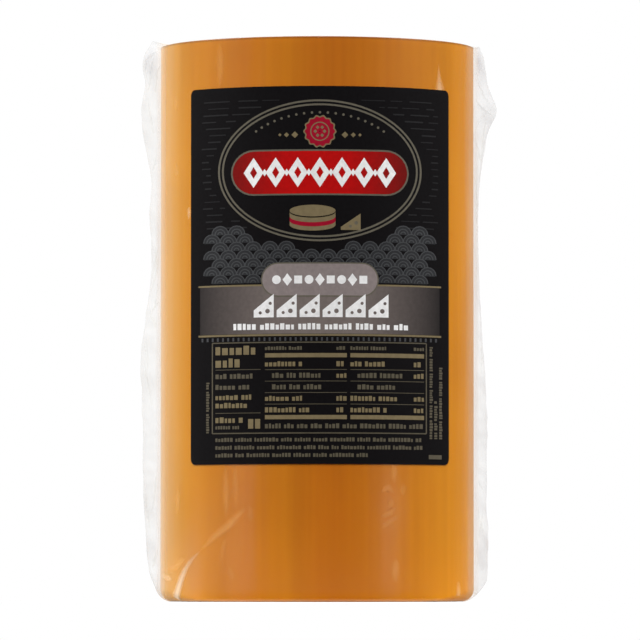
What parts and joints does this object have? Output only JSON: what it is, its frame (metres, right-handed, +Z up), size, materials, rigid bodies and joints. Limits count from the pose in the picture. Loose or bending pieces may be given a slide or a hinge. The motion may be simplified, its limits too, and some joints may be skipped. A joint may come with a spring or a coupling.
{
  "type": "smoked gouda cheese loaf",
  "caption": "Half-moon deli loaf of smoked gouda in tight clear shrink film with thin side fins, standing on one end, with a plain printed label round its curved front.",
  "frame": {"origin": "on the floor under the middle of the pack's bounding box", "axes": "+Z up along the loaf, -Y out of the round front that has the label, +Y out of the flat back, +X to the right seen from the front"},
  "size_m": [0.174, 0.0786, 0.271],
  "materials": {
    "smoked_cheese": "smooth waxy smoked cheese skin, golden amber",
    "clear_film": "clear glossy shrink film, faintly milky where it is creased",
    "label_stock": "satin coated label stock, near black",
    "label_print": "satin printing inks in tan, crimson, taupe, grey and white"
  },
  "bodies": {
    "root": {"gouda_in_film": "smoked_cheese", "label": "label_stock"}
  },
  "joints": []
}
